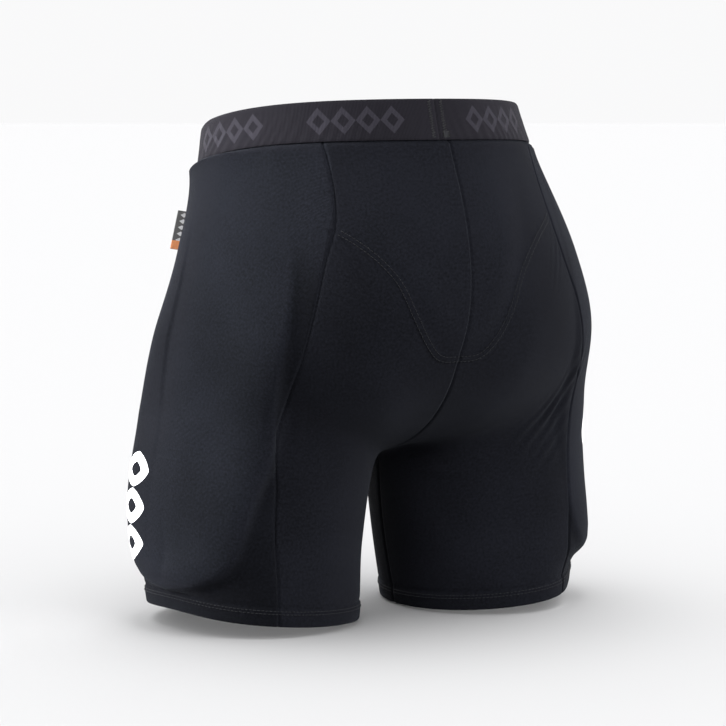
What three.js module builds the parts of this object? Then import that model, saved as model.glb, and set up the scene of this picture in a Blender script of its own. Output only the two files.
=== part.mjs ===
// Padded impact shorts, men's medium, built in millimetres with +Z up.
// The wearer's left is +X and the wearer's back is +Y.
//
// The cloth lies on one form for the left half, mirrored for the right. A point on it has two
// numbers: "round" runs from the centre front (0) over the hip (0.5) to the centre back (1), and
// "down" runs from the waist edge (0) past the crotch (CROTCH_DOWN) to the hem (1). Above the
// crotch a section is half an ellipse that turns into half of a pair of leg loops, and below it
// a closed leg loop. Every piece is a patch of this form at some depth under its outer face.
import * as THREE from 'three';

// ---- driving dimensions ----
// half widths of the outer cloth, from the centre plane to the side
const WAIST_HALF_WIDTH = 130;
const BAND_EDGE_HALF_WIDTH = 138.5;
const HIP_HALF_WIDTH = 163;
const SEAT_HALF_WIDTH = 183;
const CROTCH_HALF_WIDTH = 187;
const THIGH_HALF_WIDTH = 196;
const HEM_HALF_WIDTH = 185;
// depths of the trunk at the centre front and centre back, before the seat divides
const WAIST_FRONT = 98;
const HIP_FRONT = 108;
const SEAT_FRONT = 97;
const CROTCH_FRONT = 78;
const WAIST_BACK = 122;
const HIP_BACK = 152;
const SEAT_BACK = 126;
const CROTCH_BACK = 83;
// depths of the leg loops, front and back
const LOOP_HIP_FRONT = 84;
const LOOP_CROTCH_FRONT = 91;
const LOOP_THIGH_FRONT = 85;
const LOOP_HEM_FRONT = 85;
const LOOP_HIP_BACK = 140;
const LOOP_CROTCH_BACK = 102;
const LOOP_THIGH_BACK = 87;
const LOOP_HEM_BACK = 90;
const CENTRE_SHIFT = [[0, -15], [0.35, 18], [0.6, 2.5], [1, 1]];
// heights above the lowest point of the hems
const WAIST_SIDE_HEIGHT = 393;
const WAIST_FRONT_HEIGHT = 357;
const WAIST_BACK_HEIGHT = 409;
const CROTCH_HEIGHT = 131;
const HEM_SIDE_HEIGHT = 14;
const INSEAM_SPREAD = 26;
const CROTCH_DOWN = 0.6;
const DIVIDE_POWER = 3.1;
const RISE_POWER = 1.9;
// seams, as places round the form
const FRONT_SEAM = [[0, 0.37], [0.5, 0.375], [1, 0.365]];
const BACK_SEAM = [[0, 0.752], [0.15, 0.768], [0.4, 0.733], [0.65, 0.7], [1, 0.703]];
const POUCH_SEAM = [[0, 0.17], [0.3, 0.135], [0.48, 0.075], [0.585, 0.019]];
// cloth and sewing
const CLOTH = 1.6;
const LINER = 0.8;
const SEAM_GAP = 0.3;
const LAYER_GAP = 0.8;
const BAND_DEPTH = 32;
const BAND_THICKNESS = 2.2;
const HEM_BAND_DEPTH = 12;
const HEM_FOLD = 3;
const HEM_BAND_THICKNESS = 1.2;
// impact pads
const PAD_CLEARANCE = 2;
const LINING_SLACK = 5;
const HIP_PAD_THICKNESS = 12;
const TAIL_PAD_THICKNESS = 11;
const PAD_EDGE = 6;
const PAD_BEVEL = 2.2;
// a pad thins towards its edge from one reach, and its outer rim rounds off from another
const PAD_THIN_FROM = 0.55;
const PAD_BEVEL_FROM = 0.7;
// rings of a pad's outline, shrunk towards its middle
const PAD_RINGS = [0.2, 0.4, 0.56, 0.7, 0.8, 0.88, 0.95, 1];
const HIP_PAD = { round: 0.54, down: 0.53, halfRound: 0.138, taper: -0.1, halfDown: 0.39, power: 3.4 };
const TAIL_PAD = { round: 1, down: 0.162, halfRound: 0.105, taper: -0.55, halfDown: 0.098, power: 2.8 };
// how proud the cloth stands over a pad, and the reaches between which it sinks back
const HIP_RELIEF = 4;
const HIP_RELIEF_EDGE = [0.94, 1.1];
const TAIL_RELIEF = 2.5;
const TAIL_RELIEF_EDGE = [0.7, 1.3];
// reaches between which a pocket lining closes on the cloth
const HIP_POCKET_END = [1.07, 1.15];
const TAIL_POCKET_END = [1.12, 1.28];
const POCKET_SEAM = 5;
const TAIL_POCKET_HALF = 0.215;
const TAIL_POCKET_EDGE = [[0, 0.289], [0.04, 0.284], [0.075, 0.245], [0.12, 0.188], [0.215, 0.158]];
// labels, tape and prints
const SIDE_LABEL = { down: 0.165, long: 32, out: 14, thick: 1.2 };
const CARE_LABEL = { down: 0.14, long: 38, out: 26, thick: 0.8, lean: 1.85 };
const LABEL_STAND_OFF = 0.8;
const JOIN_TAPE = { wide: 18, tall: 27, thick: 1 };
// facets down every panel: neighbours share them, so their seams run side by side
const PANEL_ROWS = 20;
// steps, as shares of the way round or down, over which tangents and arc lengths are measured
const TANGENT_STEP = 0.004;
const ARC_STEP = 0.01;
const EDGE_STEP = 0.02;
// share of the way round over which normals turn upright towards the centre lines
const CENTRE_BLEND = 0.05;
const PRINT_THICKNESS = 0.4;
const PRINT_STAND_OFF = 0.5;
const LEFT_PRINT = { round: [0.43, 0.485], down: [0.67, 0.905] };
const RIGHT_PRINT = { round: [0.575, 0.61], down: [0.625, 0.695] };

// ---- curves ----
const lerp = THREE.MathUtils.lerp;
const smoothstep = THREE.MathUtils.smoothstep;
const clamp = THREE.MathUtils.clamp;

// A smooth curve through a few [place, value] knots, with averaged slopes between them.
function curve(knots) {
  const slope = (a, b) => (b[1] - a[1]) / (b[0] - a[0]);
  const last = knots.length - 1;
  const tangent = knots.map((knot, i) => {
    if (i === 0) return slope(knots[0], knots[1]);
    if (i === last) return slope(knots[last - 1], knots[last]);
    return (slope(knots[i - 1], knot) + slope(knot, knots[i + 1])) / 2;
  });
  return (place) => {
    const at = clamp(place, knots[0][0], knots[last][0]);
    let i = 0;
    while (i < last - 1 && at > knots[i + 1][0]) i += 1;
    const span = knots[i + 1][0] - knots[i][0];
    const t = (at - knots[i][0]) / span;
    const rise = t * t * (3 - 2 * t);
    return lerp(knots[i][1], knots[i + 1][1], rise)
      + span * t * (1 - t) * ((1 - t) * tangent[i] - t * tangent[i + 1]);
  };
}

const halfWidth = curve([[0, WAIST_HALF_WIDTH], [0.085, BAND_EDGE_HALF_WIDTH], [0.25, HIP_HALF_WIDTH],
  [0.42, SEAT_HALF_WIDTH], [0.6, CROTCH_HALF_WIDTH], [0.8, THIGH_HALF_WIDTH], [1, HEM_HALF_WIDTH]]);
const trunkFront = curve([[0, WAIST_FRONT], [0.2, HIP_FRONT], [0.4, SEAT_FRONT], [0.6, CROTCH_FRONT]]);
const trunkBack = curve([[0, WAIST_BACK], [0.2, HIP_BACK], [0.4, SEAT_BACK], [0.6, CROTCH_BACK]]);
const loopFront = curve([[0.25, LOOP_HIP_FRONT], [0.6, LOOP_CROTCH_FRONT], [0.8, LOOP_THIGH_FRONT],
  [1, LOOP_HEM_FRONT]]);
const loopBack = curve([[0.25, LOOP_HIP_BACK], [0.6, LOOP_CROTCH_BACK], [0.8, LOOP_THIGH_BACK],
  [1, LOOP_HEM_BACK]]);
const centreShift = curve(CENTRE_SHIFT);
const frontSeam = curve(FRONT_SEAM);
const backSeam = curve(BACK_SEAM);
const pouchSeam = curve(POUCH_SEAM);
const tailPocketEdge = curve(TAIL_POCKET_EDGE);

// ---- the form ----
function bareForm(round, down) {
  const above = clamp(down / CROTCH_DOWN, 0, 1);
  const below = clamp((down - CROTCH_DOWN) / (1 - CROTCH_DOWN), 0, 1);
  const divide = above ** DIVIDE_POWER;
  const side = Math.cos(Math.PI * round);
  const turn = 2 * Math.PI * round;
  const width = halfWidth(down);
  const spread = INSEAM_SPREAD * below;
  const trunkDepth = round < 0.5 ? trunkFront(down) : trunkBack(down);
  const loopDepth = round < 0.5 ? loopFront(down) : loopBack(down);
  const x = lerp(width * Math.sin(Math.PI * round),
    (width + spread) / 2 - (width - spread) / 2 * Math.cos(turn), divide);
  const y = centreShift(down) + lerp(-trunkDepth * side, -loopDepth * Math.sin(turn), divide);
  const fall = 1 - (1 - above) ** RISE_POWER;
  const inseam = lerp(CROTCH_HEIGHT, 0, below);
  const front = lerp(WAIST_FRONT_HEIGHT, inseam, fall);
  const back = lerp(WAIST_BACK_HEIGHT, inseam, fall);
  const sideHeight = lerp(WAIST_SIDE_HEIGHT, HEM_SIDE_HEIGHT, down);
  const z = sideHeight - (back - front) / 2 * side + ((back + front) / 2 - sideHeight) * side * side;
  return new THREE.Vector3(x, y, z);
}

// Unit normal, tangent round and tangent down at a point of the form.
function frameAt(round, down) {
  const r0 = Math.max(round - TANGENT_STEP, 0);
  const r1 = Math.min(round + TANGENT_STEP, 1);
  const d0 = Math.max(down - TANGENT_STEP, 0);
  const d1 = Math.min(down + TANGENT_STEP, 1);
  const roundWay = bareForm(r1, down).sub(bareForm(r0, down)).normalize();
  const downWay = bareForm(round, d1).sub(bareForm(round, d0)).normalize();
  const out = new THREE.Vector3().crossVectors(downWay, roundWay).normalize();
  return { out, roundWay, downWay };
}

// How far a point lies from a pad's middle: 0 there, 1 on the pad's outline.
function padReach(pad, round, down) {
  const alongDown = (down - pad.down) / pad.halfDown;
  const wide = pad.halfRound * (1 + pad.taper * clamp(alongDown, -1.4, 1.4));
  const alongRound = Math.abs(round - pad.round) / wide;
  return (alongRound ** pad.power + Math.abs(alongDown) ** pad.power) ** (1 / pad.power);
}

// The cloth stands proud over each pad and sinks back to the form beside it.
function relief(round, down) {
  const hip = 1 - smoothstep(padReach(HIP_PAD, round, down), ...HIP_RELIEF_EDGE);
  const tail = 1 - smoothstep(padReach(TAIL_PAD, round, down), ...TAIL_RELIEF_EDGE);
  return HIP_RELIEF * hip + TAIL_RELIEF * tail;
}

// A point of the left half, at a depth under the outer face of the cloth.
function formPoint(round, down, depth) {
  const { out } = frameAt(round, down);
  const nearCentre = Math.min(round, 1 - round);
  if (down < CROTCH_DOWN) out.setX(out.x * smoothstep(nearCentre, 0, CENTRE_BLEND)).normalize();
  return bareForm(round, down).addScaledVector(out, relief(round, down) - depth);
}

// Depth in millimetres along the cloth, as a share of "down".
function bandDown(round, depthAlong) {
  return depthAlong / (bareForm(round, 0).z - bareForm(round, EDGE_STEP).z) * EDGE_STEP;
}
function hemDown(round, depthAlong) {
  return 1 - depthAlong / (bareForm(round, 1 - EDGE_STEP).z - bareForm(round, 1).z) * EDGE_STEP;
}

// ---- meshes ----
function meshOf(name, points, quads, triangles, look, flip) {
  const position = new Float32Array(points.length * 3);
  points.forEach((point, i) => point.toArray(position, i * 3));
  const index = [];
  const face = (a, b, c) => index.push(...(flip ? [a, c, b] : [a, b, c]));
  for (const [a, b, c, d] of quads) {
    face(a, b, c);
    face(a, c, d);
  }
  for (const [a, b, c] of triangles) face(a, b, c);
  const geometry = new THREE.BufferGeometry();
  geometry.setAttribute('position', new THREE.BufferAttribute(position, 3));
  geometry.setIndex(index);
  geometry.computeVertexNormals();
  const mesh = new THREE.Mesh(geometry, new THREE.MeshStandardMaterial(look));
  mesh.name = name;
  return mesh;
}

// A sheet between an upper and a lower face. at(s, t, face) gives its points, face 0 outside.
function sheetMesh(name, columns, rows, at, look, flip) {
  const points = [];
  const id = (i, j, face) => (j * (columns + 1) + i) * 2 + face;
  for (let j = 0; j <= rows; j += 1) {
    for (let i = 0; i <= columns; i += 1) {
      points.push(at(i / columns, j / rows, 0), at(i / columns, j / rows, 1));
    }
  }
  const quads = [];
  for (let j = 0; j < rows; j += 1) {
    for (let i = 0; i < columns; i += 1) {
      quads.push([id(i, j, 0), id(i, j + 1, 0), id(i + 1, j + 1, 0), id(i + 1, j, 0)]);
      quads.push([id(i, j, 1), id(i + 1, j, 1), id(i + 1, j + 1, 1), id(i, j + 1, 1)]);
    }
    quads.push([id(0, j, 0), id(0, j, 1), id(0, j + 1, 1), id(0, j + 1, 0)]);
    quads.push([id(columns, j, 0), id(columns, j + 1, 0), id(columns, j + 1, 1), id(columns, j, 1)]);
  }
  for (let i = 0; i < columns; i += 1) {
    quads.push([id(i, 0, 0), id(i + 1, 0, 0), id(i + 1, 0, 1), id(i, 0, 1)]);
    quads.push([id(i, rows, 0), id(i, rows, 1), id(i + 1, rows, 1), id(i + 1, rows, 0)]);
  }
  return meshOf(name, points, quads, [], look, flip);
}

// A cloth panel of one half: between two seams, from a top edge to a bottom edge.
function panelMesh(name, side, piece, look) {
  const { from, to, top, bottom, outer, inner, columns, rows } = piece;
  const at = (s, t, face) => {
    const rough = lerp(top(0.5), bottom(0.5), t);
    const round = lerp(from(rough), to(rough), s);
    const down = lerp(top(round), bottom(round), t);
    const point = formPoint(round, down, face === 0 ? outer(round, down) : inner(round, down));
    const gap = down <= CROTCH_DOWN ? SEAM_GAP / 2 : 0;
    point.x = side * Math.max(point.x, gap);
    return point;
  };
  return sheetMesh(name, columns, rows, at, look, side < 0);
}

// A pad: rings of its outline shrunk towards its middle, over an outer and an inner face.
function padMesh(name, side, pad, spokes, rings, faces, look) {
  const pointAt = (angle, reach, face) => {
    const power = 2 / pad.power;
    const c = Math.cos(angle);
    const s = Math.sin(angle);
    const alongDown = reach * Math.sign(s) * Math.abs(s) ** power;
    const wide = pad.halfRound * (1 + pad.taper * alongDown);
    const across = pad.round + reach * wide * Math.sign(c) * Math.abs(c) ** power;
    const round = across > 1 ? 2 - across : across;
    const point = formPoint(round, pad.down + pad.halfDown * alongDown, faces[face](reach));
    point.x *= side * (across > 1 ? -1 : 1);
    return point;
  };
  const reaches = rings.map((reach) => [reach, 0]).concat(rings.slice().reverse().map((r) => [r, 1]));
  const points = [pointAt(0, 0, 0)];
  for (const [reach, face] of reaches) {
    for (let k = 0; k < spokes; k += 1) points.push(pointAt((k / spokes) * 2 * Math.PI, reach, face));
  }
  points.push(pointAt(0, 0, 1));
  const id = (ring, k) => 1 + ring * spokes + (k % spokes);
  const quads = [];
  const triangles = [];
  const end = points.length - 1;
  for (let k = 0; k < spokes; k += 1) {
    triangles.push([0, id(0, k + 1), id(0, k)]);
    triangles.push([end, id(reaches.length - 1, k), id(reaches.length - 1, k + 1)]);
    for (let ring = 0; ring < reaches.length - 1; ring += 1) {
      quads.push([id(ring, k), id(ring, k + 1), id(ring + 1, k + 1), id(ring + 1, k)]);
    }
  }
  return meshOf(name, points, quads, triangles, look, side < 0);
}

const part = new THREE.Group();
const SIDES = [['left', 1], ['right', -1]];

// ---- shell panels ----
const cloth = { color: 0x16171c, roughness: 0.9, metalness: 0 };
const ribCloth = { color: 0x191b22, roughness: 0.92, metalness: 0 };
const lining = { color: 0x1d1e24, roughness: 0.95, metalness: 0 };
const elastic = { color: 0x1c1a22, roughness: 0.85, metalness: 0 };
const foam = { color: 0x3a3d42, roughness: 0.8, metalness: 0 };
const paleInk = { color: 0xe9e9ea, roughness: 0.6, metalness: 0 };

// A length along the cloth at a given height, as a share of the way round.
function roundShare(round, down, length) {
  const ahead = bareForm(round + ARC_STEP, down);
  return length * 2 * ARC_STEP / ahead.distanceTo(bareForm(round - ARC_STEP, down));
}
const before = (seam, length) => (down) => seam(down) - roundShare(seam(down), down, length);
const after = (seam, length) => (down) => seam(down) + roundShare(seam(down), down, length);
const panelTop = (round) => bandDown(round, BAND_DEPTH + SEAM_GAP);
const hemEdge = () => 1;
const outside = () => 0;
const clothBack = () => CLOTH;
// Row of facets where the pouch ends, just above the crotch.
const POUCH_ROWS = 11;
// Below the crotch the two ends of a leg loop meet at the inseam, with a seam gap between them.
const INSEAM_TRIM = 0.0012;
const inseamBack = () => 1 - INSEAM_TRIM;
const pouchTip = lerp(panelTop(0.5), 1, (POUCH_ROWS + 0.5) / PANEL_ROWS);
const pouchEdge = after(pouchSeam, SEAM_GAP / 2);
const innerFront = (down) => (down < pouchTip ? pouchEdge(down) : INSEAM_TRIM);

for (const [hand, side] of SIDES) {
  const shell = { top: panelTop, bottom: hemEdge, outer: outside, inner: clothBack, rows: PANEL_ROWS };
  part.add(panelMesh(`${hand}_side_panel`, side, { ...shell, columns: 12,
    from: after(frontSeam, SEAM_GAP / 2), to: before(backSeam, SEAM_GAP / 2) }, ribCloth));
  part.add(panelMesh(`${hand}_back_panel`, side, { ...shell, columns: 11,
    from: after(backSeam, SEAM_GAP / 2), to: inseamBack }, cloth));
  part.add(panelMesh(`${hand}_front_panel`, side, { ...shell, columns: 11,
    from: innerFront, to: before(frontSeam, SEAM_GAP / 2) }, cloth));
}

// ---- front pouch, one panel across the centre ----
part.add(sheetMesh('front_centre_panel', 10, POUCH_ROWS, (s, t, face) => {
  const rough = lerp(panelTop(0.5), 1, t * POUCH_ROWS / PANEL_ROWS);
  const reach = 2 * s - 1;
  const half = pouchSeam(rough) - roundShare(Math.max(pouchSeam(rough), EDGE_STEP), rough, SEAM_GAP);
  const round = Math.abs(reach) * half;
  const down = lerp(panelTop(round), 1, t * POUCH_ROWS / PANEL_ROWS);
  const point = formPoint(round, down, face === 0 ? 0 : CLOTH);
  point.x *= Math.sign(reach);
  return point;
}, cloth, false));

// ---- waistband: one length of elastic, its ends butted at the centre back over a tape ----
part.add(sheetMesh('waistband_elastic', 56, 2, (s, t, face) => {
  const reach = 2 * s - 1;
  const round = Math.abs(reach);
  const point = formPoint(round, bandDown(round, BAND_DEPTH * t), face === 0 ? 0 : BAND_THICKNESS);
  if (round > 0.5) point.x = Math.max(point.x, SEAM_GAP / 2);
  point.x *= Math.sign(reach);
  return point;
}, elastic, false));

// A flat piece set on the form: its width along one tangent, its thickness along the normal.
function flatPiece(name, size, centre, axes, look) {
  const mesh = new THREE.Mesh(new THREE.BoxGeometry(...size), new THREE.MeshStandardMaterial(look));
  mesh.name = name;
  mesh.quaternion.setFromRotationMatrix(new THREE.Matrix4().makeBasis(...axes));
  mesh.position.copy(centre);
  return mesh;
}

const backFrame = frameAt(1, bandDown(1, BAND_DEPTH / 2));
const sideways = new THREE.Vector3(1, 0, 0);
const backDown = backFrame.downWay.setX(0).normalize();
const backOut = new THREE.Vector3().crossVectors(backDown, sideways).negate();
const tapeDepth = BAND_THICKNESS + LAYER_GAP + JOIN_TAPE.thick / 2;
const tapeCentre = bareForm(1, bandDown(1, BAND_DEPTH / 2)).addScaledVector(backOut, -tapeDepth);
part.add(flatPiece('waistband_join_tape', [JOIN_TAPE.wide, JOIN_TAPE.thick, JOIN_TAPE.tall], tapeCentre,
  [sideways, backOut, sideways.clone().cross(backOut)], elastic));

// ---- hem elastics, inside the folded hems ----
for (const [hand, side] of SIDES) {
  part.add(panelMesh(`${hand}_hem_elastic`, side, {
    from: () => 2 * INSEAM_TRIM, to: () => 1 - 2 * INSEAM_TRIM,
    top: (round) => hemDown(round, HEM_FOLD + HEM_BAND_DEPTH), bottom: (round) => hemDown(round, HEM_FOLD),
    outer: () => CLOTH + LAYER_GAP, inner: () => CLOTH + LAYER_GAP + HEM_BAND_THICKNESS,
    columns: 40, rows: 1 }, elastic));
}

// ---- impact pads in their pockets ----
// A pad is full in the middle and thin at its edge.
function padThickness(full, reach) {
  return lerp(full, PAD_EDGE, smoothstep(reach, PAD_THIN_FROM, 1));
}
// The pocket lining hangs slack behind the pad, so that the pad can shift in its pocket.
function liningDepth(pad, full, flat, round, down) {
  const reach = padReach(pad, round, down);
  const room = PAD_CLEARANCE + padThickness(full, reach) + LINING_SLACK;
  return CLOTH + lerp(room, LAYER_GAP, smoothstep(reach, ...flat));
}
const PAD_DEPTH = CLOTH + PAD_CLEARANCE;
const padFaces = (full) => [(reach) => PAD_DEPTH + PAD_BEVEL * smoothstep(reach, PAD_BEVEL_FROM, 1),
  (reach) => PAD_DEPTH + padThickness(full, reach)];

for (const [hand, side] of SIDES) {
  part.add(padMesh(`${hand}_hip_pad`, side, HIP_PAD, 40, PAD_RINGS, padFaces(HIP_PAD_THICKNESS), foam));
  const hipLining = (round, down) => liningDepth(HIP_PAD, HIP_PAD_THICKNESS, HIP_POCKET_END, round, down);
  part.add(panelMesh(`${hand}_hip_pocket_liner`, side, {
    from: after(frontSeam, POCKET_SEAM), to: before(backSeam, POCKET_SEAM),
    top: (round) => bandDown(round, BAND_DEPTH + SEAM_GAP + POCKET_SEAM / 2),
    bottom: (round) => hemDown(round, HEM_FOLD + HEM_BAND_DEPTH + POCKET_SEAM / 2),
    outer: hipLining, inner: (round, down) => hipLining(round, down) + LINER,
    columns: 14, rows: 24 }, lining));
}

part.add(padMesh('tailbone_pad', 1, TAIL_PAD, 28, PAD_RINGS, padFaces(TAIL_PAD_THICKNESS), foam));
part.add(sheetMesh('tailbone_pocket_liner', 18, 9, (s, t, face) => {
  const reach = (2 * s - 1) * TAIL_POCKET_HALF;
  const round = 1 - Math.abs(reach);
  const down = lerp(bandDown(round, BAND_DEPTH + SEAM_GAP + POCKET_SEAM / 2),
    tailPocketEdge(Math.abs(reach)), t);
  const depth = liningDepth(TAIL_PAD, TAIL_PAD_THICKNESS, TAIL_POCKET_END, round, down);
  const point = formPoint(round, down, depth + face * LINER);
  point.x *= Math.sign(-reach);
  return point;
}, lining, false));

// ---- woven side label and care label, sewn into the wearer's left front seam ----
function labelOn(name, label, lean, base, look) {
  const length = label.long / (WAIST_SIDE_HEIGHT - HEM_SIDE_HEIGHT);
  const down = label.down + length / 2;
  const round = frontSeam(down);
  const { out, downWay } = frameAt(round, down);
  const stand = out.clone().applyAxisAngle(downWay, lean);
  const centre = formPoint(round, down, base).addScaledVector(stand, label.out / 2);
  const across = new THREE.Vector3().crossVectors(stand, downWay);
  part.add(flatPiece(name, [label.thick, label.out, label.long], centre,
    [across, stand, across.clone().cross(stand)], look));
}
labelOn('side_label', SIDE_LABEL, 0, -LABEL_STAND_OFF, elastic);
labelOn('care_label', CARE_LABEL, CARE_LABEL.lean, CLOTH + LABEL_STAND_OFF, paleInk);

// ---- transfer prints on the outer thighs ----
for (const [hand, side, place] of [['left', 1, LEFT_PRINT], ['right', -1, RIGHT_PRINT]]) {
  part.add(panelMesh(`${hand}_leg_print`, side, {
    from: () => place.round[0], to: () => place.round[1],
    top: () => place.down[0], bottom: () => place.down[1],
    outer: () => -PRINT_STAND_OFF - PRINT_THICKNESS, inner: () => -PRINT_STAND_OFF,
    columns: 4, rows: 14 }, paleInk));
}

// The origin is the middle of the box the object stands in, on the floor.
const box = new THREE.Box3().setFromObject(part, true);
part.position.set(-(box.min.x + box.max.x) / 2, -(box.min.y + box.max.y) / 2, -box.min.z);

export default part;
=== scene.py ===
from math import cos, pi, radians, sin

import bpy
import numpy as np
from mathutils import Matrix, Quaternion, Vector


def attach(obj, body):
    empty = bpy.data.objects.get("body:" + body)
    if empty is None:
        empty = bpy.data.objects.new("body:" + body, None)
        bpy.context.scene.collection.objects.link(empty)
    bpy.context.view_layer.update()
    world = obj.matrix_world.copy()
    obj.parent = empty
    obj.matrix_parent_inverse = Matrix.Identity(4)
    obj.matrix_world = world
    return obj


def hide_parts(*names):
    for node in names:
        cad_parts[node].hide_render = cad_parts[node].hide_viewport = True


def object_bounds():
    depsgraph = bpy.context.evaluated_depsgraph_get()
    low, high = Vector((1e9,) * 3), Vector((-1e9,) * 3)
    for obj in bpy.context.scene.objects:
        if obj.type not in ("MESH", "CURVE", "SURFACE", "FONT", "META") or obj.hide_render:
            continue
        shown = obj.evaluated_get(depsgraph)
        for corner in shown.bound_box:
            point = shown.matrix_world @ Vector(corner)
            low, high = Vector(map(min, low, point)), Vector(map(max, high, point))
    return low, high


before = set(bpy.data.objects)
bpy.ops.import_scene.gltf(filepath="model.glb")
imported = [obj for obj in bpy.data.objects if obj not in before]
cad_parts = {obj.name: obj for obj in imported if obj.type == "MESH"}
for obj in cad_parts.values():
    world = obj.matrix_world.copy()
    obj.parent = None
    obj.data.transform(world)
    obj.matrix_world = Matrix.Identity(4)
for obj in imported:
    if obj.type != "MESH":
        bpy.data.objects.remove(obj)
cad_box = [list(corner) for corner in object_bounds()]

# ---------------------------------------------------------------- camera, floor and light
# A long lens looks at the shorts from behind and from the wearer's left, a little from above.
# They stand on a pale floor, lit by a broad soft key from the left and fills round the rest.
VIEW_TURN = radians(28.8)
VIEW_RISE = radians(5.7)
VIEW_DISTANCE = 2.241
VIEW_LENS = 138.6

box_low, box_high = (Vector(corner) for corner in cad_box)
aim = Vector((0.0, (box_low.y + box_high.y) / 2 - 0.022, 0.1973))
aim += Vector((-cos(VIEW_TURN), sin(VIEW_TURN), 0)) * -0.0023
level = cos(VIEW_RISE)
away = Vector((sin(VIEW_TURN) * level, cos(VIEW_TURN) * level, sin(VIEW_RISE)))
camera_data = bpy.data.cameras.new("view_camera")
camera_data.lens = VIEW_LENS
camera_data.clip_end = 30
view_camera = bpy.data.objects.new("view_camera", camera_data)
view_camera.location = aim + away * VIEW_DISTANCE
view_camera.rotation_euler = away.to_track_quat("Z", "Y").to_euler()
bpy.context.scene.collection.objects.link(view_camera)
bpy.context.scene.camera = view_camera
bpy.context.scene.view_settings.view_transform = "Standard"


def sweep(name, half_side, colour):
    """Pale floor: a square of half_side metres, lying just under the hems."""
    corners = [(x * half_side, y * half_side, -0.0005)
               for x, y in ((-1, -1), (1, -1), (1, 1), (-1, 1))]
    mesh = bpy.data.meshes.new(name)
    mesh.from_pydata(corners, [], [(0, 1, 2, 3)])
    material = bpy.data.materials.new(name)
    material.use_nodes = True
    shader = material.node_tree.nodes["Principled BSDF"]
    shader.inputs["Base Color"].default_value = (*colour, 1)
    shader.inputs["Roughness"].default_value = 0.9
    mesh.materials.append(material)
    floor = bpy.data.objects.new(name, mesh)
    bpy.context.scene.collection.objects.link(floor)
    return floor


pale_floor = sweep("pale_floor", 60.0, (0.72, 0.72, 0.725))
unlit = bpy.data.collections.new("not_lit_by_lamps")
unlit.objects.link(pale_floor)
unlit.collection_objects[0].light_linking.link_state = "EXCLUDE"


def soft_light(name, place, size, watts):
    """Square area light at place, of that side in metres, turned to the middle of the shorts.
    It leaves the floor out, so that the floor stays an even tone."""
    data = bpy.data.lights.new(name, "AREA")
    data.energy = watts
    data.size = size
    light = bpy.data.objects.new(name, data)
    light.location = place
    toward = Vector(place) - Vector((0, 0, box_high.z / 2))
    light.rotation_euler = toward.to_track_quat("Z", "Y").to_euler()
    light.light_linking.receiver_collection = unlit
    bpy.context.scene.collection.objects.link(light)


soft_light("side_key", (2.6, -1.2, 1.2), 1.2, 390)
soft_light("high_back", (-0.3, 2.8, 1.8), 1.4, 150)
soft_light("low_back", (-1.6, 2.4, 0.9), 1.2, 45)
soft_light("rim_right", (-2.4, -0.8, 1.3), 1.2, 16)
soft_light("front_fill", (-0.4, -3.0, 1.7), 2.0, 60)
sky = bpy.data.lights.new("even_sky", "SUN")
sky.energy = 1.25
sky.angle = radians(60)
sky_light = bpy.data.objects.new("even_sky", sky)
bpy.context.scene.collection.objects.link(sky_light)
world = bpy.data.worlds.new("studio")
world.use_nodes = True
world.node_tree.nodes["Background"].inputs["Color"].default_value = (0.95, 0.95, 0.955, 1)
world.node_tree.nodes["Background"].inputs["Strength"].default_value = 1.0
bpy.context.scene.world = world

# ---------------------------------------------------------------- side panels
# One rib-knit panel over each hip, from the waistband to the hem fold, cut whole over the pad
# pocket. It is tense over the pad, so the pad's rounded rear edge and lower corner stand proud.
# Its lower edge is turned up over the hem elastic.
FORM_PLACE = np.array((-0.0004, -0.0222, 0.0))
WAIST_BACK_HEIGHT = 0.409
WAIST_FRONT_HEIGHT = 0.357
WAIST_SIDE_HEIGHT = 0.393
HEM_SIDE_HEIGHT = 0.014
INSEAM_LENGTH = 0.131
CROTCH_DOWN = 0.6
BAND_DEPTH = 0.032
HEM_DEPTH = 0.014
FOLD_RADIUS = 0.0016
TUCK = 0.004
CLOTH_THICKNESS = 0.0009
# the painted-light value that leaves the knit's colour as it is: no painted highlight and no
# painted shade
NO_PAINTED_LIGHT = 0.5
FORM_ROWS = 300
FORM_COLUMNS = 260
EASING_STEPS = 520
NEAR_HEM = 0.97
# the body's half width, its depth in front and behind, and its shift back: knots of (down, metres)
HALF_WIDTH = ((0, 0.130), (0.085, 0.1385), (0.25, 0.163), (0.42, 0.183), (0.6, 0.187),
              (0.8, 0.196), (1, 0.185))
TRUNK_FRONT = ((0, 0.098), (0.2, 0.108), (0.4, 0.097), (0.6, 0.078))
TRUNK_BACK = ((0, 0.122), (0.2, 0.152), (0.4, 0.126), (0.6, 0.083))
LOOP_FRONT = ((0.25, 0.084), (0.6, 0.091), (0.8, 0.085), (1, 0.085))
LOOP_BACK = ((0.25, 0.140), (0.6, 0.102), (0.8, 0.087), (1, 0.090))
CENTRE_SHIFT = ((0, -0.015), (0.35, 0.018), (0.6, 0.0025), (1, 0.001))
# the seams: knots of (down, around), by hand where the photographed sides differ
FRONT_SEAM = ((0, 0.37), (0.5, 0.375), (1, 0.365))
BACK_SEAM = {1: ((0, 0.760), (0.08, 0.785), (0.14, 0.787), (0.195, 0.770), (0.26, 0.760),
                 (0.385, 0.745), (0.475, 0.725), (0.6, 0.694), (0.735, 0.708), (0.87, 0.716),
                 (1, 0.711)),
             -1: ((0, 0.680), (0.09, 0.735), (0.2, 0.745), (0.29, 0.722), (0.43, 0.700),
                  (0.565, 0.678), (0.78, 0.676), (1, 0.680))}
POUCH_SEAM = ((0, 0.17), (0.3, 0.135), (0.48, 0.075), (0.585, 0.012), (0.6, 0.0))
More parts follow.
